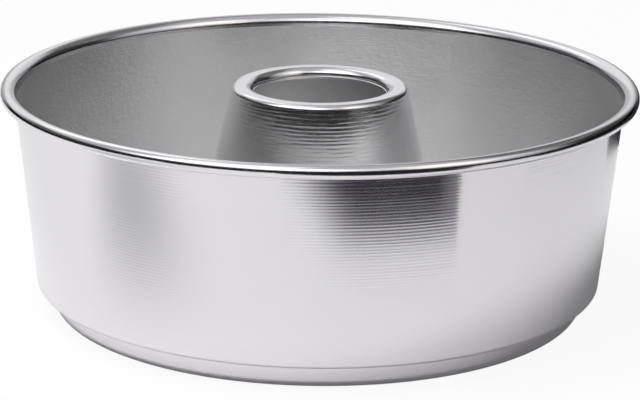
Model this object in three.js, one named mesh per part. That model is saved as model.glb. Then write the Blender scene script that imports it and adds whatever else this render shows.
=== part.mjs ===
// Ring mould of a stove-top camping oven: a deep pressed pan with a rolled rim and a stepped foot,
// and a conical centre tube that is hemmed under the pan's floor.
// Millimetres, +Z up. The origin is on the axis, in the plane the mould stands on.

import * as THREE from 'three';

// Pan wall and rim
const PAN_SHEET = 1.0; // thickness of the pan's sheet
const RIM_DIAMETER = 260; // over the rolled rim
const HEIGHT = 92.8; // from the rest plane to the top of the rim
const ROLL_HEIGHT = 5.5; // of the rolled rim, top to underside
const ROLL_SHOULDER = 4.1; // inner edge radius where the wall turns over into the roll
const ROLL_UNDER = THREE.MathUtils.degToRad(160); // from the roll's widest point round to the cut edge
const WALL_LEAN = THREE.MathUtils.degToRad(5.67); // outward, from upright

// Lower corner, ledge and foot of the pan
const WALL_CORNER = 1.5; // outside radius where the wall turns under
const LEDGE_HEIGHT = 10; // underside of the ledge above the rest plane
const LEDGE_WIDTH = 6.8; // from the wall's outside to the foot's outside
const LEDGE_ROOT = 0.8; // outside radius between the ledge and the foot
const FOOT_EDGE = 3.0; // outside radius at the bottom of the foot

// Floor of the pan, raised round the tube so that the seam stays off the stove
const FLOOR_RISE = 6.5; // underside of the raised ring above the rest plane
const RAISED_WIDTH = 7; // of the raised ring, from its inner edge
const RISE_RUN = 8; // level length over which the floor climbs
const RISE_BEND = 4; // bend radius at both ends of the climb
const COLLAR_BEND = 1.2; // bend radius where the floor turns down beside the tube
const COLLAR_DROP = 3.4; // of the turned-down edge, below the floor

// Centre tube
const TUBE_SHEET = 1.0; // thickness of the tube's sheet
const TUBE_DROP = 1.6; // top of the tube below the top of the rim
const TUBE_TOP_RADIUS = 35.8; // where the cone's outside meets the plane of the land
const TUBE_LEAN = THREE.MathUtils.degToRad(12.68); // of the cone, from upright
const TUBE_SHOULDER = 2.2; // outside radius between the cone and the land
const BORE_RADIUS = 27.6; // inside the turned-down top edge
const BORE_EDGE = 3.2; // outside radius between the land and the turned-down edge
const BORE_LIP = 3.6; // depth of the turned-down edge
const HEM_LEG = 2.0; // of the tube's lower edge, folded up outside the collar

// Wire in the rim, and clearances
const WIRE_GAP = 0.3; // between the wire and the roll round it
const SEAM_GAP = 0.3; // between the layers of the seam

// Facets
const SEGMENTS = 60; // round the axis
const ARC_STEP = THREE.MathUtils.degToRad(30); // greatest turn between two points of a bend
const WIRE_SIDES = 8;

const point = (radius, height) => new THREE.Vector2(radius, height);
const heading = (angle) => point(Math.cos(angle), Math.sin(angle));

/** Points on an arc after its start, each with the direction of travel. */
function arc(centre, radius, start, end) {
  const steps = Math.ceil(Math.abs(end - start) / ARC_STEP);
  const sense = Math.sign(end - start);
  return Array.from({ length: steps }, (_, i) => {
    const angle = start + ((end - start) * (i + 1)) / steps;
    return {
      at: heading(angle).multiplyScalar(radius).add(centre),
      along: heading(angle + (sense * Math.PI) / 2),
    };
  });
}

/** A line through [point, bend radius] corners, with each corner rounded. */
function bentLine(corners) {
  const line = [];
  corners.forEach(([at, bend], i) => {
    const before = corners[i - 1]?.[0];
    const after = corners[i + 1]?.[0];
    if (!before || !after) {
      const along = before ? at.clone().sub(before) : after.clone().sub(at);
      line.push({ at, along: along.normalize() });
      return;
    }
    const arriving = at.clone().sub(before).normalize();
    const leaving = after.clone().sub(at).normalize();
    const turn = Math.atan2(arriving.cross(leaving), arriving.dot(leaving));
    const start = at.clone().addScaledVector(arriving, -bend * Math.tan(Math.abs(turn) / 2));
    const side = Math.sign(turn) * (Math.PI / 2);
    const centre = heading(arriving.angle() + side).multiplyScalar(bend).add(start);
    const from = arriving.angle() - side;
    line.push({ at: start, along: arriving }, ...arc(centre, bend, from, from + turn));
  });
  return line;
}

/** Closed section of a sheet that follows a centre line. */
function sheetSection(line, thickness) {
  const face = (offset) =>
    line.map(({ at, along }) => point(at.x - along.y * offset, at.y + along.x * offset));
  const right = face(-thickness / 2);
  const left = face(thickness / 2).reverse();
  return [...right, ...left, right[0].clone()];
}

/** A piece turned about the vertical axis from its closed section. */
function turned(name, section, finish) {
  const mesh = new THREE.Mesh(
    new THREE.LatheGeometry(section, SEGMENTS),
    new THREE.MeshStandardMaterial(finish),
  );
  mesh.name = name;
  mesh.rotation.x = Math.PI / 2;
  return mesh;
}

// The rim's roll: a wide shoulder up from the wall, then a tighter roll outward and under
const panHalf = PAN_SHEET / 2;
const rollRadius = ROLL_HEIGHT / 2 - panHalf;
const rollCentre = point(RIM_DIAMETER / 2 - ROLL_HEIGHT / 2, HEIGHT - ROLL_HEIGHT / 2);
const shoulderRadius = ROLL_SHOULDER - panHalf;
const shoulderCentre = point(rollCentre.x, HEIGHT - ROLL_SHOULDER);

// The wall: a leaning line that runs down from the shoulder
const wallTop = heading(Math.PI - WALL_LEAN).multiplyScalar(shoulderRadius).add(shoulderCentre);
const wallRadiusAt = (height) => wallTop.x - (wallTop.y - height) * Math.tan(WALL_LEAN);
const ledgeLevel = LEDGE_HEIGHT + panHalf;
const wallCorner = point(wallRadiusAt(ledgeLevel), ledgeLevel);
const footRadius = wallRadiusAt(LEDGE_HEIGHT) - LEDGE_WIDTH;

// The cone: its centre line, and the seam's centre line beside it
const landLevel = HEIGHT - TUBE_DROP - TUBE_SHEET / 2;
const coneNormal = heading(TUBE_LEAN);
const coneRadiusAt = (height, outward) =>
  TUBE_TOP_RADIUS + (HEIGHT - TUBE_DROP - height) * Math.tan(TUBE_LEAN) + outward / Math.cos(TUBE_LEAN);
const seamOffset = (PAN_SHEET + TUBE_SHEET) / 2 + SEAM_GAP;
const collarRadiusAt = (height) => coneRadiusAt(height, seamOffset - TUBE_SHEET / 2);

// The floor: level on the rest plane, raised near the tube, turned down beside it
const floorLevel = FLOOR_RISE + panHalf;
const collarEnd = point(collarRadiusAt(FLOOR_RISE - COLLAR_DROP), FLOOR_RISE - COLLAR_DROP);
const collarTop = point(collarRadiusAt(floorLevel), floorLevel);
const riseTop = point(collarTop.x + RAISED_WIDTH, floorLevel);
const riseFoot = point(riseTop.x + RISE_RUN, panHalf);

const panLine = [
  ...bentLine([
    [collarEnd],
    [collarTop, COLLAR_BEND],
    [riseTop, RISE_BEND],
    [riseFoot, RISE_BEND],
    [point(footRadius, panHalf), FOOT_EDGE - panHalf],
    [point(footRadius, ledgeLevel), LEDGE_ROOT + panHalf],
    [wallCorner, WALL_CORNER - panHalf],
    [wallTop],
  ]),
  ...arc(shoulderCentre, shoulderRadius, Math.PI - WALL_LEAN, Math.PI / 2),
  ...arc(rollCentre, rollRadius, Math.PI / 2, 0),
  ...arc(rollCentre, rollRadius, 0, -ROLL_UNDER),
];

// The tube: turned down inside the land, over the shoulder, down the cone, and hemmed round the collar
const boreLine = BORE_RADIUS + TUBE_SHEET / 2;
const hemStart = collarEnd.clone().addScaledVector(coneNormal, -seamOffset);
const hemEnd = collarEnd.clone().addScaledVector(coneNormal, seamOffset);
const upCone = heading(TUBE_LEAN + Math.PI / 2);

const tubeLine = [
  ...bentLine([
    [point(boreLine, HEIGHT - TUBE_DROP - BORE_LIP)],
    [point(boreLine, landLevel), BORE_EDGE - TUBE_SHEET / 2],
    [point(coneRadiusAt(landLevel, -TUBE_SHEET / 2), landLevel), TUBE_SHOULDER - TUBE_SHEET / 2],
    [hemStart],
  ]),
  ...arc(collarEnd, seamOffset, TUBE_LEAN + Math.PI, TUBE_LEAN + 2 * Math.PI),
  { at: hemEnd.addScaledVector(upCone, HEM_LEG), along: upCone },
];

// The wire: a ring in the middle of the roll
const wireRadius = rollRadius - panHalf - WIRE_GAP;
const wireSection = Array.from({ length: WIRE_SIDES + 1 }, (_, i) =>
  heading((2 * Math.PI * i) / WIRE_SIDES).multiplyScalar(wireRadius).add(rollCentre),
);

const mould = new THREE.Group();
mould.add(
  turned('pan_shell', sheetSection(panLine, PAN_SHEET), { color: 0xd9dadd, roughness: 0.28, metalness: 1 }),
  turned('centre_tube', sheetSection(tubeLine, TUBE_SHEET), { color: 0xc4c5c9, roughness: 0.24, metalness: 1 }),
  turned('rim_wire', wireSection, { color: 0x8d8f93, roughness: 0.4, metalness: 1 }),
);

export default mould;
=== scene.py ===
"""Ring mould of a stove-top camping oven: its spun and pressed aluminium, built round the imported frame."""

import math

import bmesh
import bpy
from bpy.props import FloatProperty, FloatVectorProperty, IntProperty, PointerProperty
from mathutils import Matrix, Vector


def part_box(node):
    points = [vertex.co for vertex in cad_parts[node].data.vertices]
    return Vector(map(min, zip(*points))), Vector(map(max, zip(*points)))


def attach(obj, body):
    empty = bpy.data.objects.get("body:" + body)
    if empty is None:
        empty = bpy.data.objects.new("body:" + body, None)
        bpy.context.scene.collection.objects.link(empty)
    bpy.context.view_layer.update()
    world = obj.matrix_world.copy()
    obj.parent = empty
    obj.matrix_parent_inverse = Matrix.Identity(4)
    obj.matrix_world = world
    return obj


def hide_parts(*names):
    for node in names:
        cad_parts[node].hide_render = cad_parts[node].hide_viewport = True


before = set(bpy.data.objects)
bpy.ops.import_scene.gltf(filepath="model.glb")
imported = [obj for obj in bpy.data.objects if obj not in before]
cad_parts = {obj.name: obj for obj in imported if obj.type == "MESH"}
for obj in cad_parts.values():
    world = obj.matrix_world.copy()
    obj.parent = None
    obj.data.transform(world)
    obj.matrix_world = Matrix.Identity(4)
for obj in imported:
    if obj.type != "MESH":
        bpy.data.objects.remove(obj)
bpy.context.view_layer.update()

bl_info = {
    "name": "Ring Cake Mould",
    "version": (1, 0, 0),
    "blender": (4, 5, 0),
    "location": "View3D > Sidebar > Mould",
    "description": "Builds a pressed aluminium ring mould, its finishes and a small studio",
    "category": "Object",
}

PAN_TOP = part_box("pan_shell")[1]
TUBE_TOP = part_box("centre_tube")[1]
BODY = "root"

MM = 0.001
UP = Vector((0, 0, 1))
SECTION_AXIS = (0, 1, 0)
BEND_STEP = math.radians(9)
CUT_ANGLE = math.radians(60)
FULL_TURN = 2 * math.pi
MERGE_DISTANCE = 0.001 * MM

# Material slots: a sheet's plain faces, its burnished faces, and the step from either to its other side
PLAIN = 0
BURNISHED = 2
OTHER_SIDE = 1

# Most of a noise texture's values lie between these
NOISE_LOW = 0.25
NOISE_HIGH = 0.75
# A quarter of a turn: highlights stretch across the tool's lines
ACROSS_LINES = 0.25
# Lines over which the tool sways and bites deeper, and how deep its bite is
SWAY_LINES = 7
BITE_LINES = 3
BITE_LEAST = 0.3
BITE_MOST = 1.4
# Weights of finer marks beside the grain or the rings that they lie among
WIPE_WEIGHT = 0.8
SCRATCH_WEIGHT = 5.0


def linear(hex_colour):
    """Turns an sRGB hex colour into linear red, green and blue."""
    channels = [int(hex_colour[i:i + 2], 16) / 255 for i in (1, 3, 5)]
    return tuple(c / 12.92 if c <= 0.04045 else ((c + 0.055) / 1.055) ** 2.4 for c in channels)


def length(name, description, metres):
    """A size that a user would change, in metres."""
    return FloatProperty(name=name, description=description, default=metres, unit="LENGTH", precision=5)


def angle(name, description, degrees):
    """An angle that a user would change."""
    return FloatProperty(name=name, description=description, default=math.radians(degrees), unit="ROTATION")


def colour(name, description, hex_colour):
    """A colour that a user would change."""
    return FloatVectorProperty(
        name=name, description=description, default=linear(hex_colour), subtype="COLOR", min=0, max=1
    )


def share(name, description, value):
    """A roughness, reflectance or other value from 0 to 1."""
    return FloatProperty(name=name, description=description, default=value, min=0, max=1, subtype="FACTOR")


class MouldSizes(bpy.types.PropertyGroup):
    """Sizes of the mould's pieces."""

    turns: IntProperty(name="Facets", description="Facets round the axis", default=256, min=32)
    cut_edge: length("Cut edge", "Rounding of the sheets' cut edges", 0.15 * MM)

    pan_sheet: length("Pan sheet", "Thickness of the pan's sheet", 1.0 * MM)
    rim_radius: length("Rim radius", "To the outside of the rolled rim", PAN_TOP.x)
    height: length("Height", "From the rest plane to the top of the rim", PAN_TOP.z)
    roll_height: length("Roll height", "Of the rolled rim, top to underside", 5.5 * MM)
    roll_shoulder: length("Roll shoulder", "Edge radius where the wall turns into the roll", 4.1 * MM)
    roll_under: angle("Roll under", "From the roll's widest point round to its cut edge", 160)
    polished_band: length("Polished band", "Inside the wall, below the roll's shoulder", 1.2 * MM)
    wall_lean: angle("Wall lean", "Outward, from upright", 5.67)
    wall_corner: length("Wall corner", "Outside radius where the wall turns under", 1.5 * MM)
    ledge_height: length("Ledge height", "Underside of the ledge above the rest plane", 10 * MM)
    ledge_width: length("Ledge width", "From the wall's outside to the foot's", 6.8 * MM)
    ledge_root: length("Ledge root", "Outside radius between ledge and foot", 0.8 * MM)
    foot_edge: length("Foot edge", "Outside radius at the bottom of the foot", 3.0 * MM)
    floor_rise: length("Floor rise", "Underside of the raised ring above the rest plane", 6.5 * MM)
    raised_width: length("Raised width", "Of the raised ring, from its inner edge", 7 * MM)
    rise_run: length("Rise run", "Level length over which the floor climbs", 8 * MM)
    rise_bend: length("Rise bend", "Bend radius at both ends of the climb", 4 * MM)
    collar_bend: length("Collar bend", "Where the floor turns down beside the tube", 1.2 * MM)
    collar_drop: length("Collar drop", "Of the turned-down edge below the floor", 3.4 * MM)

    tube_sheet: length("Tube sheet", "Thickness of the tube's sheet", 1.0 * MM)
    tube_height: length("Tube height", "From the rest plane to the top of the tube", TUBE_TOP.z)
    tube_top_radius: length("Tube top radius", "Where the cone's outside meets the land's plane", 35.8 * MM)
    tube_lean: angle("Tube lean", "Of the cone, from upright", 12.68)
    tube_shoulder: length("Tube shoulder", "Outside radius between cone and land", 2.2 * MM)
    bore_radius: length("Bore radius", "Inside the turned-down top edge", 27.6 * MM)
    bore_edge: length("Bore edge", "Outside radius between land and turned-down edge", 3.2 * MM)
    bore_lip: length("Bore lip", "Depth of the turned-down edge", 3.6 * MM)
    lip_curl: length("Lip curl", "Of the turned-down edge's last bit, inward", 0.7 * MM)
    lip_bend: length("Lip bend", "Bend radius of the lip's curl", 0.6 * MM)
    hem_leg: length("Hem leg", "Of the tube's lower edge, folded up outside the collar", 2.0 * MM)
    seam_gap: length("Seam gap", "Between the layers of the seam", 0.3 * MM)

    wire_gap: length("Wire gap", "Between the wire and the roll round it", 0.3 * MM)
    wire_sides: IntProperty(name="Wire sides", description="Facets round the wire", default=16, min=8)


class MouldFinishes(bpy.types.PropertyGroup):
    """Colours, roughness and grain of the mould's finishes."""

    polished: colour("Polished", "Lathe-polished aluminium of the outside and the rim", "#E8E6E9")
    polished_roughness: share("Polished roughness", "Across the lathe's lines", 0.14)
    polished_pitch: length("Polished pitch", "Between the lathe's lines outside", 1.4 * MM)
    polished_depth: length("Polished depth", "Of the lathe's lines outside", 0.005 * MM)
    rim_roughness: share("Rim roughness", "Of the burnished roll", 0.15)
    rim_grain: length("Rim grain", "Size of the burnished sheet's grain", 1.2 * MM)
    rim_depth: length("Rim depth", "Of the burnished sheet's grain", 0.012 * MM)
    satin: colour("Satin", "As-pressed aluminium inside the pan", "#ECECED")
    satin_roughness: share("Satin roughness", "Of the inside", 0.38)
    satin_pitch: length("Satin pitch", "Between the marks of wiping inside", 0.8 * MM)
    satin_grain: length("Satin grain", "Size of the pressed sheet's grain", 2.6 * MM)
    satin_clouds: length("Satin clouds", "Size of the duller patches inside", 16 * MM)
    satin_depth: length("Satin depth", "Of the pressed sheet's grain", 0.18 * MM)
    turned: colour("Turned", "Lathe-turned aluminium of the tube", "#ECECED")
    turned_roughness: share("Turned roughness", "Across the turned rings", 0.13)
    turned_pitch: length("Turned pitch", "Between the tube's rings", 1.2 * MM)
    turned_depth: length("Turned depth", "Of the tube's rings", 0.009 * MM)
    wire: colour("Wire", "Drawn steel of the rim wire", "#8D8F93")
    wire_roughness: share("Wire roughness", "Of the drawn wire", 0.40)


class MouldStudio(bpy.types.PropertyGroup):
    """Camera, lights and cards of the studio."""

    camera_distance: length("Camera distance", "In front of the axis", 1.0308)
    camera_height: length("Camera height", "Above the floor", 0.34825)
    camera_pitch: angle("Camera pitch", "Down from level", 16.556)
    camera_roll: angle("Camera roll", "Turn of the picture", 0.66)
    camera_lens: FloatProperty(
        name="Lens", description="Focal length on a 36 mm sensor", default=146, unit="CAMERA"
    )
    camera_shift: FloatProperty(name="Shift", description="Of the picture, in widths", default=0.0022)
    floor_colour: colour("Floor", "White paper", "#F7F7F7")
    floor_span: length("Floor span", "Side of the square of paper", 8)
    floor_glow: share("Floor glow", "How far the camera sees the paper as plain white", 0.93)
    mirror_glow: share("Mirror glow", "How far the metal sees the paper as plain white", 0.03)
    sky_light: FloatProperty(name="Sky light", description="Of the white room", default=0.2, min=0)
    lamp_power: FloatProperty(
        name="Lamp", description="Power of the lamp over the paper", default=27, min=0, unit="POWER"
    )
    lamp_side: length("Lamp side", "Of the square lamp", 1.0)
    lamp_distance: length("Lamp distance", "From the mould", 1.8)
    lamp_heading: angle("Lamp heading", "To the right of the camera", -63)
    lamp_rise: angle("Lamp rise", "Above level", 70)
    flag: colour("Flag", "Dark card in front of the mould", "#221F2A")
    flag_distance: length("Flag distance", "From the axis to the dark card in front", 0.238)
    flag_height: length("Flag height", "Of the dark card in front", 0.07)
    flag_edge: colour("Flag edge", "Paler strip that softens the flag's right end", "#74727A")
    flag_edge_gap: length("Flag edge gap", "Between the flag and its paler strip", 2.4 * MM)
    side_flag: colour("Side flag", "Dark card behind the mould, on the right", "#302F36")
    side_flag_distance: length("Side flag distance", "From the axis to the side flag", 0.29)
    side_flag_height: length("Side flag height", "Of the side flag", 0.09)
    # Grey card on the table's left that only the metal sees: the wall mirrors it as a soft darker band
    sheet: colour("Sheet", "Grey sheet on the table, on the left", "#C4C4C4")
    floor_patch_start: length("Sheet start", "From the axis to the grey sheet's near edge", 0.11)
    floor_patch_end: length("Sheet end", "From the axis to the grey sheet's far edge", 0.45)
    surround: colour("Surround", "Dark table round the paper, as the metal sees it", "#2C2C2E")
    dome_radius: length("Dome radius", "Of the studio's dome round the mould", 2.2)
    window: colour("Window", "Pale window in the dome", "#FFFAF0")
    window_light: FloatProperty(name="Window light", description="Of the pale window", default=1.2, min=0)
    window_distance: length("Window distance", "From the axis to the window", 2.09)


# Nodes and materials


def add_node(tree, kind, inputs=None, **settings):
    """Adds a node with its settings; inputs gives each socket a value or another node's output."""
    node = tree.nodes.new(kind)
    for name, value in settings.items():
        setattr(node, name, value)
    for socket, value in (inputs or {}).items():
        if isinstance(value, bpy.types.NodeSocket):
            tree.links.new(value, node.inputs[socket])
        else:
            node.inputs[socket].default_value = value
    return node


def new_material(name):
    """An empty node material and its tree."""
    material = bpy.data.materials.new(name)
    material.use_nodes = True
    material.node_tree.nodes.clear()
    return material, material.node_tree


def set_surface(tree, shader):
    """Makes a shader the material's surface."""
    add_node(tree, "ShaderNodeOutputMaterial", {"Surface": shader.outputs[0]})


def lathe_coordinates(tree):
    """Distance along the section, and heading from the axis."""
    place = add_node(tree, "ShaderNodeTexCoord").outputs["Object"]
    level = add_node(tree, "ShaderNodeVectorMath", {0: place, 1: (1, 1, 0)}, operation="MULTIPLY").outputs[0]
    radius = add_node(tree, "ShaderNodeVectorMath", {0: level}, operation="LENGTH").outputs["Value"]
    height = add_node(tree, "ShaderNodeSeparateXYZ", {0: place}).outputs["Z"]
    travel = add_node(tree, "ShaderNodeMath", {0: radius, 1: height}, operation="ADD").outputs[0]
    heading = add_node(tree, "ShaderNodeVectorMath", {0: level}, operation="NORMALIZE").outputs[0]
    return travel, heading


def tool_direction(tree, heading):
    """The level way round the axis, in which the tool ran."""
    return add_node(tree, "ShaderNodeVectorMath", {0: UP, 1: heading}, operation="CROSS_PRODUCT").outputs[0]


def ring_noise(tree, travel, heading, pitch, drift, detail):
    """Noise that runs in rings round the axis: pitch apart, and changing slowly along each ring."""
    along = add_node(tree, "ShaderNodeMath", {0: travel, 1: pitch}, operation="DIVIDE").outputs[0]
    rise = add_node(tree, "ShaderNodeCombineXYZ", {"Z": along}).outputs[0]
    place = add_node(
        tree,
        "ShaderNodeVectorMath",
        {0: heading, 1: (drift, drift, drift), 2: rise},
        operation="MULTIPLY_ADD",
    ).outputs[0]
    return add_node(
        tree, "ShaderNodeTexNoise", {"Vector": place, "Scale": 1.0, "Detail": detail, "Roughness": 0.55}
    ).outputs["Fac"]


def lathe_lines(tree, travel, heading, pitch, drift):
    """Height of the lines that a tool leaves: a wave at its feed's pitch, some cut deeper than others."""
    sway = ring_noise(tree, travel, heading, pitch=SWAY_LINES * pitch, drift=drift, detail=2)
    turns = add_node(
        tree, "ShaderNodeMath", {0: travel, 1: 1 / pitch, 2: sway}, operation="MULTIPLY_ADD"
    ).outputs[0]
    phase = add_node(tree, "ShaderNodeMath", {0: turns, 1: FULL_TURN}, operation="MULTIPLY").outputs[0]
    wave = add_node(tree, "ShaderNodeMath", {0: phase}, operation="SINE").outputs[0]
    bite = ring_noise(tree, travel, heading, pitch=BITE_LINES * pitch, drift=drift, detail=2)
    depth = between(tree, bite, BITE_LEAST, BITE_MOST)
    return add_node(tree, "ShaderNodeMath", {0: wave, 1: depth}, operation="MULTIPLY").outputs[0]


def grain(tree, size):
    """Fine noise with no direction, about one speck to each size."""
    place = add_node(tree, "ShaderNodeTexCoord").outputs["Object"]
    return add_node(
        tree, "ShaderNodeTexNoise", {"Vector": place, "Scale": 1 / size, "Detail": 3.0, "Roughness": 0.6}
    ).outputs["Fac"]


def between(tree, value, low, high):
    """Spreads a noise value over a range."""
    return add_node(
        tree,
        "ShaderNodeMapRange",
        {"Value": value, "From Min": NOISE_LOW, "From Max": NOISE_HIGH, "To Min": low, "To Max": high},
    ).outputs[0]


# Most real lines and grain are finer than the picture's pixels, so they are drawn coarse enough to show


def polished_aluminium(finishes):
    """Lathe-polished aluminium: bright, with fine level lines that break up the edges of each reflection."""
    material, tree = new_material("lathe_polished_aluminium")
    travel, heading = lathe_coordinates(tree)
    lines = lathe_lines(tree, travel, heading, pitch=finishes.polished_pitch, drift=0.8)
    hair = ring_noise(tree, travel, heading, pitch=0.5 * MM, drift=2, detail=3)
    relief = add_node(
        tree, "ShaderNodeBump", {"Strength": 1.0, "Distance": finishes.polished_depth, "Height": lines}
    )
    rough = finishes.polished_roughness
    shader = add_node(
        tree,
        "ShaderNodeBsdfPrincipled",
        {
            "Base Color": (*finishes.polished, 1),
            "Metallic": 1.0,
            "Roughness": between(tree, hair, rough * 0.8, rough * 1.2),
            "Anisotropic": 0.8,
            "Anisotropic Rotation": ACROSS_LINES,
            "Tangent": tool_direction(tree, heading),
            "Normal": relief.outputs[0],
        },
    )
    set_surface(tree, shader)
    return material


def burnished_aluminium(finishes):
    """Burnished aluminium of the roll and the land: nearly a mirror, mottled by the sheet's coarse grain."""
    material, tree = new_material("burnished_aluminium")
    heading = lathe_coordinates(tree)[1]
    specks = grain(tree, finishes.rim_grain)
    relief = add_node(
        tree, "ShaderNodeBump", {"Strength": 1.0, "Distance": finishes.rim_depth, "Height": specks}
    )
    rough = finishes.rim_roughness
    shader = add_node(
        tree,
        "ShaderNodeBsdfPrincipled",
        {
            "Base Color": (*finishes.polished, 1),
            "Metallic": 1.0,
            "Roughness": between(tree, specks, rough * 0.8, rough * 1.3),
            "Anisotropic": 0.4,
            "Anisotropic Rotation": ACROSS_LINES,
            "Tangent": tool_direction(tree, heading),
            "Normal": relief.outputs[0],
        },
    )
    set_surface(tree, shader)
    return material


def satin_aluminium(finishes):
    """As-pressed aluminium, wiped round: satin grey that streaks light up and down, mottled by fine grain."""
    material, tree = new_material("satin_pressed_aluminium")
    travel, heading = lathe_coordinates(tree)
    wiped = ring_noise(tree, travel, heading, pitch=finishes.satin_pitch, drift=20, detail=4)
    specks = grain(tree, finishes.satin_grain)
    clouds = grain(tree, finishes.satin_clouds)
    height = add_node(
        tree, "ShaderNodeMath", {0: wiped, 1: WIPE_WEIGHT, 2: specks}, operation="MULTIPLY_ADD"
    ).outputs[0]
    relief = add_node(
        tree, "ShaderNodeBump", {"Strength": 1.0, "Distance": finishes.satin_depth, "Height": height}
    )
    uneven = add_node(tree, "ShaderNodeMath", {0: wiped, 1: clouds}, operation="ADD").outputs[0]
    worn = add_node(tree, "ShaderNodeMath", {0: uneven, 1: 0.5}, operation="MULTIPLY").outputs[0]
    rough = finishes.satin_roughness
    shader = add_node(
        tree,
        "ShaderNodeBsdfPrincipled",
        {
            "Base Color": (*finishes.satin, 1),
            "Metallic": 1.0,
            "Roughness": between(tree, worn, rough * 0.7, rough * 1.3),
            "Anisotropic": 0.8,
            "Anisotropic Rotation": ACROSS_LINES,
            "Tangent": tool_direction(tree, heading),
            "Normal": relief.outputs[0],
        },
    )
    set_surface(tree, shader)
    return material


def turned_aluminium(finishes):
    """Lathe-turned aluminium: broken rings from the tool, dark and bright, with finer ones between them."""
    material, tree = new_material("lathe_turned_aluminium")
    travel, heading = lathe_coordinates(tree)
    rings = lathe_lines(tree, travel, heading, pitch=finishes.turned_pitch, drift=1.6)
    scratches = ring_noise(tree, travel, heading, pitch=0.7 * MM, drift=3, detail=4)
    height = add_node(
        tree, "ShaderNodeMath", {0: scratches, 1: SCRATCH_WEIGHT, 2: rings}, operation="MULTIPLY_ADD"
    ).outputs[0]
    relief = add_node(
        tree, "ShaderNodeBump", {"Strength": 1.0, "Distance": finishes.turned_depth, "Height": height}
    )
    rough = finishes.turned_roughness
    shader = add_node(
        tree,
        "ShaderNodeBsdfPrincipled",
        {
            "Base Color": (*finishes.turned, 1),
            "Metallic": 1.0,
            "Roughness": between(tree, scratches, rough * 0.8, rough * 1.2),
            "Anisotropic": 0.6,
            "Anisotropic Rotation": ACROSS_LINES,
            "Tangent": tool_direction(tree, heading),
            "Normal": relief.outputs[0],
        },
    )
    set_surface(tree, shader)
    return material


def drawn_steel(finishes):
    """Drawn steel wire: grey, with fine lines along its length."""
    material, tree = new_material("drawn_steel_wire")
    travel, heading = lathe_coordinates(tree)
    lines = ring_noise(tree, travel, heading, pitch=0.2 * MM, drift=4, detail=2)
    rough = finishes.wire_roughness
    shader = add_node(
        tree,
        "ShaderNodeBsdfPrincipled",
        {
            "Base Color": (*finishes.wire, 1),
            "Metallic": 1.0,
            "Roughness": between(tree, lines, rough * 0.8, rough * 1.2),
        },
    )
    set_surface(tree, shader)
    return material


# Sections and turning


def section_point(radius, height):
    """A point of a section, in the plane of X and Z."""
    return Vector((radius, 0, height))


def bent_line(bm, corners):
    """Joins (point, bend radius) corners with edges, rounds the bends and returns the last vertex."""
    points = [point for point, bend in corners]
    verts = [bm.verts.new(point) for point in points]
    for start, end in zip(verts, verts[1:]):
        bm.edges.new((start, end))
    for i in range(1, len(corners) - 1):
        bend = corners[i][1]
        turn = (points[i] - points[i - 1]).angle(points[i + 1] - points[i])
        bmesh.ops.bevel(
            bm,
            geom=[verts[i]],
            offset=bend * math.tan(turn / 2),
            offset_type="OFFSET",
            segments=max(2, math.ceil(turn / BEND_STEP)),
            profile=0.5,
            affect="VERTICES",
            material=-1,
        )
    return verts[-1]


def roll_on(bm, end, centre, turn):
    """Rolls the section on from its end vertex, round a centre, and returns the new end."""
    rolled = bmesh.ops.spin(
        bm,
        geom=[end],
        cent=centre,
        axis=SECTION_AXIS,
        angle=turn,
        steps=math.ceil(abs(turn) / BEND_STEP),
        use_merge=False,
        use_duplicate=False,
    )
    return next(v for v in rolled["geom_last"] if isinstance(v, bmesh.types.BMVert))


def turn_section(bm, turns):
    """Spins a section once round the axis, and points its faces one way."""
    bmesh.ops.spin(
        bm,
        geom=bm.verts[:] + bm.edges[:],
        cent=(0, 0, 0),
        axis=UP,
        angle=FULL_TURN,
        steps=turns,
        use_merge=True,
        use_duplicate=False,
    )
    bmesh.ops.remove_doubles(bm, verts=bm.verts, dist=MERGE_DISTANCE)
    bmesh.ops.recalc_face_normals(bm, faces=bm.faces)
    for face in bm.faces:
        face.smooth = True


def face_top(bm, up):
    """Turns all faces of a sheet so that its highest ones point up, or down."""
    highest = max(bm.faces, key=lambda face: face.calc_center_median().z)
    if (highest.normal.z > 0) != up:
        bmesh.ops.reverse_faces(bm, faces=bm.faces)


def new_piece(bm, name, node, materials):
    """Makes a piece of the mould from its mesh, in the place of a CAD node."""
    mesh = bpy.data.meshes.new(name)
    bm.to_mesh(mesh)
    bm.free()
    for material in materials:
        mesh.materials.append(material)
    piece = bpy.data.objects.new(name, mesh)
    bpy.context.scene.collection.objects.link(piece)
    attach(piece, BODY)
    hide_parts(node)
    return piece


def give_sheet(piece, thickness, cut_edge):
    """Gives a turned surface its sheet on both sides, with soft cut edges and even flats."""
    sheet = piece.modifiers.new("Sheet", "SOLIDIFY")
    sheet.thickness = thickness
    sheet.offset = 0
    sheet.use_even_offset = True
    sheet.use_quality_normals = True
    sheet.material_offset = OTHER_SIDE
    edges = piece.modifiers.new("Cut edges", "BEVEL")
    edges.width = cut_edge
    edges.segments = 2
    edges.limit_method = "ANGLE"
    edges.angle_limit = CUT_ANGLE
    flats = piece.modifiers.new("Flats", "WEIGHTED_NORMAL")
    flats.keep_sharp = True


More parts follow.
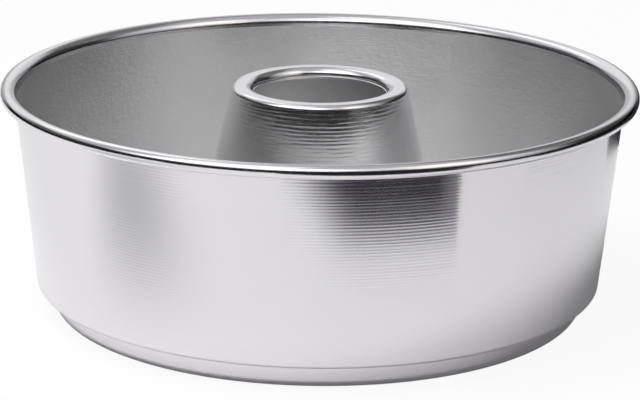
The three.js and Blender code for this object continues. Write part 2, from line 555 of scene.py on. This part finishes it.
class Section:
    """Lines of the mould's section that its pieces share, from its sizes."""

    def __init__(self, sizes):
        self.sizes = sizes
        self.pan_half = sizes.pan_sheet / 2
        self.tube_half = sizes.tube_sheet / 2
        self.roll_radius = sizes.roll_height / 2 - self.pan_half
        roll_axis = sizes.rim_radius - sizes.roll_height / 2
        self.roll_centre = section_point(roll_axis, sizes.height - sizes.roll_height / 2)
        self.shoulder_centre = section_point(roll_axis, sizes.height - sizes.roll_shoulder)
        shoulder = sizes.roll_shoulder - self.pan_half
        lean = sizes.wall_lean
        self.wall_top = self.shoulder_centre + shoulder * section_point(-math.cos(lean), math.sin(lean))
        self.seam = self.pan_half + self.tube_half + sizes.seam_gap
        self.cone_normal = section_point(math.cos(sizes.tube_lean), math.sin(sizes.tube_lean))
        self.collar_end = self.collar(sizes.floor_rise - sizes.collar_drop)

    def wall(self, height):
        """Middle of the pan's wall."""
        drop = self.wall_top.z - height
        return section_point(self.wall_top.x - drop * math.tan(self.sizes.wall_lean), height)

    def cone(self, height, outward):
        """A line beside the tube's outside."""
        lean = self.sizes.tube_lean
        flare = (self.sizes.tube_height - height) * math.tan(lean)
        return section_point(self.sizes.tube_top_radius + flare + outward / math.cos(lean), height)

    def collar(self, height):
        """Middle of the pan's turned-down collar."""
        return self.cone(height, self.seam - self.tube_half)


class MOULD_OT_pan(bpy.types.Operator):
    """Turns the pan: floor, foot, ledge, wall and rolled rim of one sheet"""

    bl_idname = "mould.pan"
    bl_label = "Pan"

    def execute(self, context):
        sizes = context.scene.mould_sizes
        section = Section(sizes)
        half = section.pan_half
        floor = sizes.floor_rise + half
        ledge = sizes.ledge_height + half
        collar_top = section.collar(floor)
        rise_top = collar_top + section_point(sizes.raised_width, 0)
        rise_foot = section_point(rise_top.x + sizes.rise_run, half)
        foot = section.wall(sizes.ledge_height).x - sizes.ledge_width
        band = section.wall(section.wall_top.z - sizes.polished_band)

        bm = bmesh.new()
        end = bent_line(
            bm,
            [
                (section.collar_end, 0),
                (collar_top, sizes.collar_bend),
                (rise_top, sizes.rise_bend),
                (rise_foot, sizes.rise_bend),
                (section_point(foot, half), sizes.foot_edge - half),
                (section_point(foot, ledge), sizes.ledge_root + half),
                (section.wall(ledge), sizes.wall_corner - half),
                (band, 0),
            ],
        )
        top = bm.verts.new(section.wall_top)
        bm.edges.new((end, top))
        over = roll_on(bm, top, section.shoulder_centre, math.pi / 2 - sizes.wall_lean)
        widest = roll_on(bm, over, section.roll_centre, math.pi / 2)
        roll_on(bm, widest, section.roll_centre, sizes.roll_under)
        turn_section(bm, sizes.turns)
        face_top(bm, up=False)
        for face in bm.faces:
            in_roll = face.calc_center_median().z > band.z
            face.material_index = BURNISHED if in_roll else PLAIN

        finishes = context.scene.mould_finishes
        polished = polished_aluminium(finishes)
        burnished = burnished_aluminium(finishes)
        piece = new_piece(
            bm,
            "pan_pressing",
            "pan_shell",
            [polished, satin_aluminium(finishes), burnished, burnished],
        )
        give_sheet(piece, sizes.pan_sheet, sizes.cut_edge)
        return {"FINISHED"}


class MOULD_OT_tube(bpy.types.Operator):
    """Turns the centre tube: lip, land, cone and the hem round the pan's collar"""

    bl_idname = "mould.tube"
    bl_label = "Centre tube"

    def execute(self, context):
        sizes = context.scene.mould_sizes
        section = Section(sizes)
        half = section.tube_half
        land = sizes.tube_height - half
        bore = sizes.bore_radius + half
        lip = sizes.tube_height - sizes.bore_lip
        hem_start = section.collar_end - section.seam * section.cone_normal
        lean = sizes.tube_lean
        up_cone = section_point(-math.sin(lean), math.cos(lean))

        bm = bmesh.new()
        end = bent_line(
            bm,
            [
                (section_point(bore - sizes.lip_curl, lip - sizes.lip_curl / 2), 0),
                (section_point(bore, lip), sizes.lip_bend),
                (section_point(bore, land), sizes.bore_edge - half),
                (section.cone(land, -half), sizes.tube_shoulder - half),
                (hem_start, 0),
            ],
        )
        hem = roll_on(bm, end, section.collar_end, -math.pi)
        leg = bm.verts.new(hem.co + sizes.hem_leg * up_cone)
        bm.edges.new((hem, leg))
        turn_section(bm, sizes.turns)
        face_top(bm, up=True)
        land_foot = sizes.tube_height - sizes.tube_shoulder
        for face in bm.faces:
            middle = face.calc_center_median()
            on_land = middle.z > land_foot or middle.xy.length < bore + MERGE_DISTANCE
            face.material_index = BURNISHED if on_land else PLAIN

        finishes = context.scene.mould_finishes
        turned = turned_aluminium(finishes)
        satin = bpy.data.materials["satin_pressed_aluminium"]
        burnished = bpy.data.materials["burnished_aluminium"]
        piece = new_piece(
            bm,
            "tube_pressing",
            "centre_tube",
            [turned, satin, burnished, burnished],
        )
        give_sheet(piece, sizes.tube_sheet, sizes.cut_edge)
        return {"FINISHED"}


class MOULD_OT_wire(bpy.types.Operator):
    """Turns the wire that the rim is rolled round"""

    bl_idname = "mould.wire"
    bl_label = "Rim wire"

    def execute(self, context):
        sizes = context.scene.mould_sizes
        section = Section(sizes)
        radius = section.roll_radius - section.pan_half - sizes.wire_gap
        upright = Matrix.Translation(section.roll_centre) @ Matrix.Rotation(math.pi / 2, 4, "X")
        bm = bmesh.new()
        bmesh.ops.create_circle(bm, segments=sizes.wire_sides, radius=radius, matrix=upright)
        turn_section(bm, sizes.turns)
        new_piece(
            bm, "wire_ring", "rim_wire", [drawn_steel(context.scene.mould_finishes)]
        )
        return {"FINISHED"}


# Studio

# Greys of the dome that the metal mirrors: bands by the rise that each starts from, then greys by heading to
# the right of the camera, in degrees
DOME_BANDS = (
    (-2, ((-180, 0.5), (-150, 0.4), (-135, 0), (145, 0), (160, 0.3), (180, 0.5))),
    (
        14,
        (
            (-180, 0.9),
            (-145, 0.85),
            (-120, 0.1),
            (-80, 0.03),
            (30, 0.03),
            (60, 0.5),
            (85, 0.4),
            (105, 0.03),
            (140, 0.05),
            (160, 0.7),
            (180, 0.9),
        ),
    ),
    (
        32,
        (
            (-180, 0.4),
            (-155, 1.4),
            (-120, 0.6),
            (-95, 0.4),
            (-60, 1.9),
            (-40, 1.5),
            (-10, 1.9),
            (28, 0.8),
            (55, 1.4),
            (85, 0.7),
            (105, 0.2),
            (150, 0.15),
            (180, 0.4),
        ),
    ),
    (62, ((-180, 0.5), (-110, 0.7), (-70, 1.3), (-30, 1.2), (0, 0.5), (180, 0.5))),
)
# Half the height over which one band passes into the next
DOME_EDGE = math.radians(3)
# Where straight ahead lies on a band's ramp of greys
RAMP_MIDDLE = 0.5

# Headings and rises of the dome and its window, in degrees
DOME_HEADINGS = (-180, 180)
DOME_RISES = (-2, 90)
WINDOW_HEADINGS = (32, 64)
WINDOW_RISES = (26, 41)

# Headings between which each card on the table stands or lies, in degrees
FLAG_HEADINGS = (-10, 40)
FLAG_EDGE_HEADINGS = (30, 40)
SIDE_FLAG_HEADINGS = (118, 150)
FLOOR_PATCH_HEADINGS = (-130, 0)

# Where the dark surround starts, in metres from the axis, and between which headings
SURROUND = ((0.9, (-150, -50)), (0.55, (-50, 70)), (0.35, (70, 150)))

# Ovals over which cards fade, in metres: an endless reach leaves an axis out of the fade
ENDLESS = 10
FLAG_FADE = {
    "centre": (0.2, 0, 0),
    "reach": (0.117, ENDLESS, ENDLESS),
    "core": 0.64,
    "slant": math.radians(-56),
}
FLAG_EDGE_FADE = {"centre": (0.158, 0, 0), "reach": (0.034, ENDLESS, ENDLESS), "core": 0.15}
FLOOR_PATCH_FADE = {"centre": (-0.23, -0.14, 0), "reach": (0.18, 0.105, ENDLESS), "core": 0.0}

CARD_STEPS = 24
CARD_LIFT = 1 * MM
SENSOR_WIDTH = 36


def stage_object(bm, name, material):
    """Makes a floor or card of the studio from its mesh."""
    mesh = bpy.data.meshes.new(name)
    bm.to_mesh(mesh)
    bm.free()
    mesh.materials.append(material)
    placed = bpy.data.objects.new(name, mesh)
    bpy.context.scene.collection.objects.link(placed)
    return placed


def paper_floor(studio):
    """White paper: a plain matt floor, a little whiter to the camera than its shadows make it."""
    material, tree = new_material("white_paper")
    paper = add_node(tree, "ShaderNodeBsdfDiffuse", {"Color": (*studio.floor_colour, 1)})
    white = add_node(tree, "ShaderNodeEmission", {"Color": (1, 1, 1, 1), "Strength": 1.0})
    path = add_node(tree, "ShaderNodeLightPath").outputs
    mirrored = add_node(
        tree,
        "ShaderNodeMath",
        {0: path["Is Glossy Ray"], 1: path["Is Transmission Ray"]},
        operation="MAXIMUM",
    ).outputs[0]
    mirror_glow = add_node(
        tree, "ShaderNodeMath", {0: mirrored, 1: studio.mirror_glow}, operation="MULTIPLY"
    ).outputs[0]
    glow = add_node(
        tree,
        "ShaderNodeMath",
        {0: path["Is Camera Ray"], 1: studio.floor_glow, 2: mirror_glow},
        operation="MULTIPLY_ADD",
    ).outputs[0]
    lit = add_node(tree, "ShaderNodeMixShader", {0: glow, 1: paper.outputs[0], 2: white.outputs[0]})
    set_surface(tree, lit)
    bm = bmesh.new()
    bmesh.ops.create_grid(bm, x_segments=1, y_segments=1, size=studio.floor_span / 2)
    stage_object(bm, "floor", material)


def card(name, material, line, headings):
    """Sweeps a line from one heading to another, in degrees: a card that only the metal sees."""
    bm = bmesh.new()
    verts = [bm.verts.new(point) for point in line]
    for start, end in zip(verts, verts[1:]):
        bm.edges.new((start, end))
    turn = Matrix.Rotation(math.radians(headings[0]), 3, "Z")
    bmesh.ops.rotate(bm, verts=bm.verts[:], cent=(0, 0, 0), matrix=turn)
    bmesh.ops.spin(
        bm,
        geom=bm.verts[:] + bm.edges[:],
        cent=(0, 0, 0),
        axis=UP,
        angle=math.radians(headings[1] - headings[0]),
        steps=CARD_STEPS,
        use_merge=False,
        use_duplicate=False,
    )
    swept = stage_object(bm, name, material)
    swept.visible_camera = False
    swept.visible_diffuse = False
    swept.visible_shadow = False


def plain_card(name, shade, strength=1.0):
    """Plain card of one colour, evenly lit."""
    material, tree = new_material(name)
    plain = add_node(tree, "ShaderNodeEmission", {"Color": (*shade, 1), "Strength": strength})
    set_surface(tree, plain)
    return material


def faded_card(name, shade, centre, reach, core, slant=0):
    """Card that fades out from an oval's core, a share of its reach, to its edge; slant turns it about Y."""
    material, tree = new_material(name)
    place = add_node(tree, "ShaderNodeTexCoord").outputs["Object"]
    oval = add_node(
        tree,
        "ShaderNodeMapping",
        {"Vector": place, "Location": centre, "Rotation": (0, slant, 0), "Scale": reach},
        vector_type="TEXTURE",
    ).outputs[0]
    away = add_node(tree, "ShaderNodeVectorMath", {0: oval}, operation="LENGTH").outputs["Value"]
    faded = add_node(
        tree,
        "ShaderNodeMapRange",
        {"Value": away, "From Min": core, "From Max": 1.0},
        interpolation_type="SMOOTHERSTEP",
    ).outputs[0]
    plain = add_node(tree, "ShaderNodeEmission", {"Color": (*shade, 1), "Strength": 1.0})
    clear = add_node(tree, "ShaderNodeBsdfTransparent")
    mixed = add_node(tree, "ShaderNodeMixShader", {0: faded, 1: plain.outputs[0], 2: clear.outputs[0]})
    set_surface(tree, mixed)
    return material


def upright_card(name, material, distance, height, headings):
    """A card that stands on the table, round the mould."""
    foot = Vector((0, -distance, 0))
    card(name, material, [foot, foot + height * UP], headings)


def flat_card(name, material, start, end, headings):
    """A card that lies on the table, from one distance to another."""
    card(name, material, [Vector((0, -start, CARD_LIFT)), Vector((0, -end, CARD_LIFT))], headings)


def banded_dome():
    """Greys that change softly with the heading, in bands one above another."""
    material, tree = new_material("studio_dome")
    place = add_node(tree, "ShaderNodeTexCoord").outputs["Object"]
    way = add_node(tree, "ShaderNodeVectorMath", {0: place}, operation="NORMALIZE").outputs[0]
    axes = add_node(tree, "ShaderNodeSeparateXYZ", {0: way}).outputs
    ahead = add_node(tree, "ShaderNodeMath", {0: axes["Y"], 1: -1}, operation="MULTIPLY").outputs[0]
    heading = add_node(tree, "ShaderNodeMath", {0: axes["X"], 1: ahead}, operation="ARCTAN2").outputs[0]
    turn = add_node(
        tree, "ShaderNodeMath", {0: heading, 1: 1 / FULL_TURN, 2: RAMP_MIDDLE}, operation="MULTIPLY_ADD"
    ).outputs[0]
    rise = add_node(tree, "ShaderNodeMath", {0: axes["Z"]}, operation="ARCSINE").outputs[0]
    light = None
    for start, greys in DOME_BANDS:
        ramp = add_node(tree, "ShaderNodeValToRGB", {0: turn})
        ramp.color_ramp.interpolation = "EASE"
        stops = ramp.color_ramp.elements
        while len(stops) < len(greys):
            stops.new(1.0)
        for stop, (degrees, grey) in zip(stops, greys):
            stop.position = math.radians(degrees) / FULL_TURN + RAMP_MIDDLE
            stop.color = (grey, grey, grey, 1)
        if light is None:
            light = ramp.outputs[0]
            continue
        edge = math.radians(start)
        above = add_node(
            tree,
            "ShaderNodeMapRange",
            {"Value": rise, "From Min": edge - DOME_EDGE, "From Max": edge + DOME_EDGE},
            interpolation_type="SMOOTHSTEP",
        ).outputs[0]
        # Sockets 6 and 7 and output 2 are the node's colours
        light = add_node(
            tree, "ShaderNodeMix", {0: above, 6: light, 7: ramp.outputs[0]}, data_type="RGBA"
        ).outputs[2]
    set_surface(tree, add_node(tree, "ShaderNodeEmission", {"Color": light, "Strength": 1.0}))
    return material


def dome_card(name, material, distance, headings, rises):
    """A card bent round the mould and over it, between two headings and two rises in degrees."""
    low, high = (math.radians(rise) for rise in rises)
    bends = [low + (high - low) * i / CARD_STEPS for i in range(CARD_STEPS + 1)]
    line = [distance * Vector((0, -math.cos(bend), math.sin(bend))) for bend in bends]
    card(name, material, line, headings)


def table_cards(studio):
    """Cards on the table, for the wall to mirror: two dark flags, one soft-ended, a darker grey patch and a
    surround.
    """
    flag = faded_card("front_flag", studio.flag, **FLAG_FADE)
    upright_card("front_flag", flag, studio.flag_distance, studio.flag_height, FLAG_HEADINGS)
    edge = faded_card("flag_edge", studio.flag_edge, **FLAG_EDGE_FADE)
    edge_distance = studio.flag_distance - studio.flag_edge_gap
    upright_card("flag_edge", edge, edge_distance, studio.flag_height, FLAG_EDGE_HEADINGS)
    side = plain_card("side_flag", studio.side_flag)
    upright_card("side_flag", side, studio.side_flag_distance, studio.side_flag_height, SIDE_FLAG_HEADINGS)
    # Grey card that only the metal sees: it makes the mirrored table darker on the wall's left
    sheet = faded_card("darker_floor_patch", studio.sheet, **FLOOR_PATCH_FADE)
    flat_card("darker_floor_patch", sheet, studio.floor_patch_start, studio.floor_patch_end, FLOOR_PATCH_HEADINGS)
    surround = plain_card("dark_surround", studio.surround)
    for start, headings in SURROUND:
        flat_card("dark_surround", surround, start, studio.dome_radius, headings)


def dome_and_window(studio):
    """The room that the metal mirrors: a grey dome, and a pale window just inside it."""
    dome_card("studio_dome", banded_dome(), studio.dome_radius, DOME_HEADINGS, DOME_RISES)
    window = plain_card("window", studio.window, studio.window_light)
    dome_card("window", window, studio.window_distance, WINDOW_HEADINGS, WINDOW_RISES)


def white_room(studio):
    """A white world, seen as white and lighting at its own level."""
    world = bpy.data.worlds.new("white_room")
    bpy.context.scene.world = world
    world.use_nodes = True
    tree = world.node_tree
    tree.nodes.clear()
    path = add_node(tree, "ShaderNodeLightPath")
    seen = add_node(
        tree,
        "ShaderNodeMath",
        {0: path.outputs["Is Camera Ray"], 1: path.outputs["Is Glossy Ray"]},
        operation="MAXIMUM",
    ).outputs[0]
    seen = add_node(
        tree, "ShaderNodeMath", {0: seen, 1: path.outputs["Is Transmission Ray"]}, operation="MAXIMUM"
    ).outputs[0]
    strength = add_node(
        tree, "ShaderNodeMapRange", {"Value": seen, "To Min": studio.sky_light, "To Max": 1.0}
    ).outputs[0]
    sky = add_node(tree, "ShaderNodeBackground", {"Color": (1, 1, 1, 1), "Strength": strength})
    add_node(tree, "ShaderNodeOutputWorld", {"Surface": sky.outputs[0]})


def paper_lamp(studio):
    """A soft lamp on the left for the paper and its shadow; the metal has the dome and the cards."""
    lamp = bpy.data.lights.new("paper_lamp", "AREA")
    lamp.energy = studio.lamp_power
    lamp.size = studio.lamp_side
    box = bpy.data.objects.new("paper_lamp", lamp)
    turn = Matrix.Rotation(studio.lamp_heading, 4, "Z")
    tilt = Matrix.Rotation(math.pi / 2 - studio.lamp_rise, 4, "X")
    box.matrix_world = turn @ tilt @ Matrix.Translation((0, 0, studio.lamp_distance))
    box.visible_camera = False
    box.visible_glossy = False
    bpy.context.scene.collection.objects.link(box)


def photo_camera(studio):
    """The camera, at the photograph's viewing angle."""
    lens = bpy.data.cameras.new("camera")
    lens.lens = studio.camera_lens
    lens.sensor_width = SENSOR_WIDTH
    lens.shift_x = studio.camera_shift
    camera = bpy.data.objects.new("camera", lens)
    pitch = Matrix.Rotation(math.pi / 2 - studio.camera_pitch, 4, "X")
    roll = Matrix.Rotation(studio.camera_roll, 4, "Z")
    camera.location = (0, -studio.camera_distance, studio.camera_height)
    camera.rotation_euler = (pitch @ roll).to_euler()
    bpy.context.scene.collection.objects.link(camera)
    bpy.context.scene.camera = camera


class MOULD_OT_studio(bpy.types.Operator):
    """Sets up the camera, the paper and its light, and the dome and cards that the metal mirrors"""

    bl_idname = "mould.studio"
    bl_label = "Studio"

    def execute(self, context):
        studio = context.scene.mould_studio
        context.scene.view_settings.view_transform = "Standard"
        photo_camera(studio)
        paper_floor(studio)
        white_room(studio)
        paper_lamp(studio)
        table_cards(studio)
        dome_and_window(studio)
        return {"FINISHED"}


class MOULD_PT_panel(bpy.types.Panel):
    """Lists the mould's pieces and its studio"""

    bl_label = "Ring Cake Mould"
    bl_idname = "MOULD_PT_panel"
    bl_space_type = "VIEW_3D"
    bl_region_type = "UI"
    bl_category = "Mould"

    def draw(self, context):
        for operator in OPERATORS:
            self.layout.operator(operator.bl_idname)


OPERATORS = (MOULD_OT_pan, MOULD_OT_tube, MOULD_OT_wire, MOULD_OT_studio)
GROUPS = {"mould_sizes": MouldSizes, "mould_finishes": MouldFinishes, "mould_studio": MouldStudio}


def register():
    """Adds the classes, and the groups of sizes, finishes and studio settings, to Blender."""
    for cls in (*GROUPS.values(), *OPERATORS, MOULD_PT_panel):
        bpy.utils.register_class(cls)
    for name, group in GROUPS.items():
        setattr(bpy.types.Scene, name, PointerProperty(type=group))


def unregister():
    """Takes them out again."""
    for name in GROUPS:
        delattr(bpy.types.Scene, name)
    for cls in (MOULD_PT_panel, *reversed(OPERATORS), *GROUPS.values()):
        bpy.utils.unregister_class(cls)


def main():
    """Builds the pieces and the studio."""
    register()
    bpy.ops.mould.pan()
    bpy.ops.mould.tube()
    bpy.ops.mould.wire()
    bpy.ops.mould.studio()


if __name__ == "__main__":
    main()
